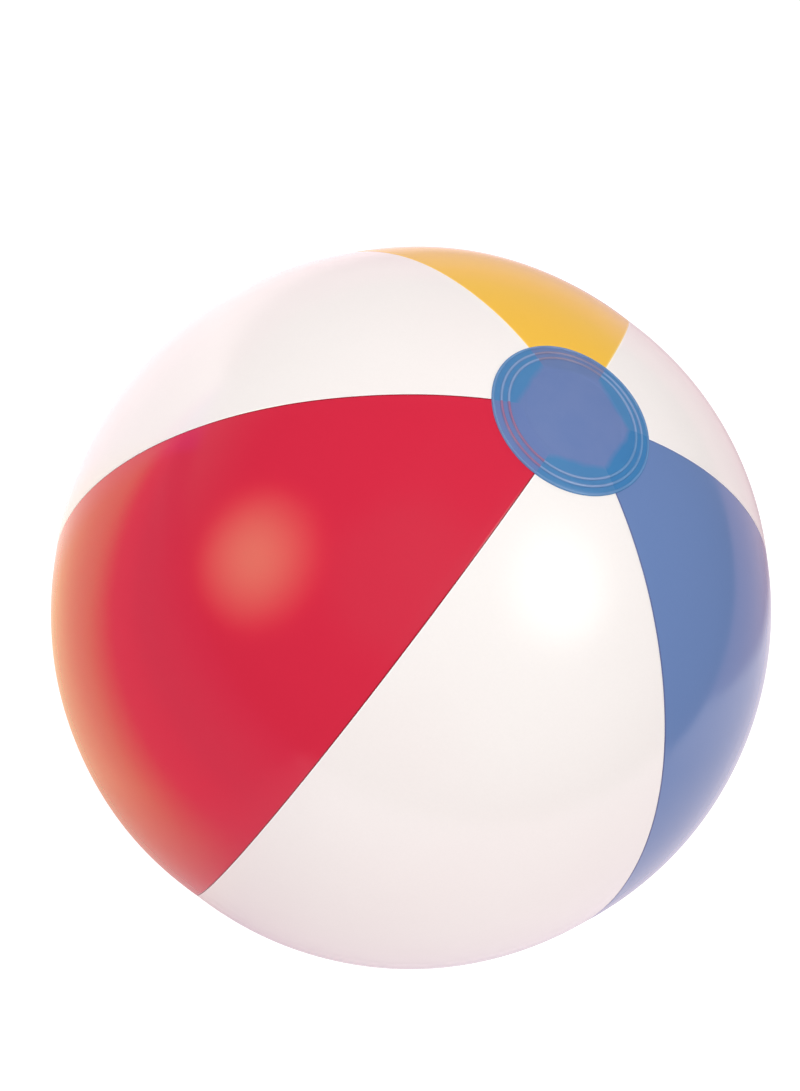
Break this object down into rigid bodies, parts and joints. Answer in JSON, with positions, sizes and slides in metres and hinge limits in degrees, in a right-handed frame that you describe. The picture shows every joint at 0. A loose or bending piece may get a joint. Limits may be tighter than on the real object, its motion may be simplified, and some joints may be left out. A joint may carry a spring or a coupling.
{
  "type": "inflatable beach ball",
  "caption": "Inflated round beach ball of coloured and white film gores, with a round end disc at each pole and a push-in valve with plug.",
  "frame": {"origin": "centre of the inflated ball", "axes": "+Z along the polar axis through both end discs, towards the disc that faces up; +X through the middle of the blue gore; the valve lies in the XZ plane, 30 degrees below -X"},
  "size_m": [0.4, 0.4, 0.4004],
  "materials": {
    "film_blue": "glossy soft vinyl film",
    "film_yellow": "glossy soft vinyl film",
    "film_red": "glossy soft vinyl film",
    "film_white": "glossy soft vinyl film",
    "disc_film": "glossy translucent blue vinyl film",
    "valve_soft": "soft milky vinyl moulding"
  },
  "bodies": {
    "ball": {"gore_blue": "film_blue", "gore_white_right": "film_white", "gore_yellow": "film_yellow", "gore_white_left": "film_white", "gore_red": "film_red", "gore_white_front": "film_white", "end_disc_top": "disc_film", "end_disc_bottom": "disc_film", "valve_flange": "valve_soft"},
    "stem": {"valve_stem": "valve_soft", "valve_web": "valve_soft"},
    "plug": {"valve_plug": "valve_soft", "valve_tether": "valve_soft"},
    "flap": {"valve_flap": "valve_soft"}
  },
  "joints": [
    {"name": "valve_pop", "type": "slide", "parent": "ball", "child": "stem", "axis": [-0.866, 0, -0.5], "range_m": [0, 0.016], "deforming": ["valve_web"]},
    {"name": "plug_pull", "type": "slide", "parent": "stem", "child": "plug", "axis": [-0.866, 0, -0.5], "range_m": [0, 0.012], "deforming": ["valve_tether"]},
    {"name": "flap_open", "type": "hinge", "parent": "stem", "child": "flap", "pos_m": [-0.15772, 0, -0.09672], "axis": [0, 1, 0], "range_deg": [0, 60], "stiffness_Nm_per_rad": 0.0002}
  ]
}
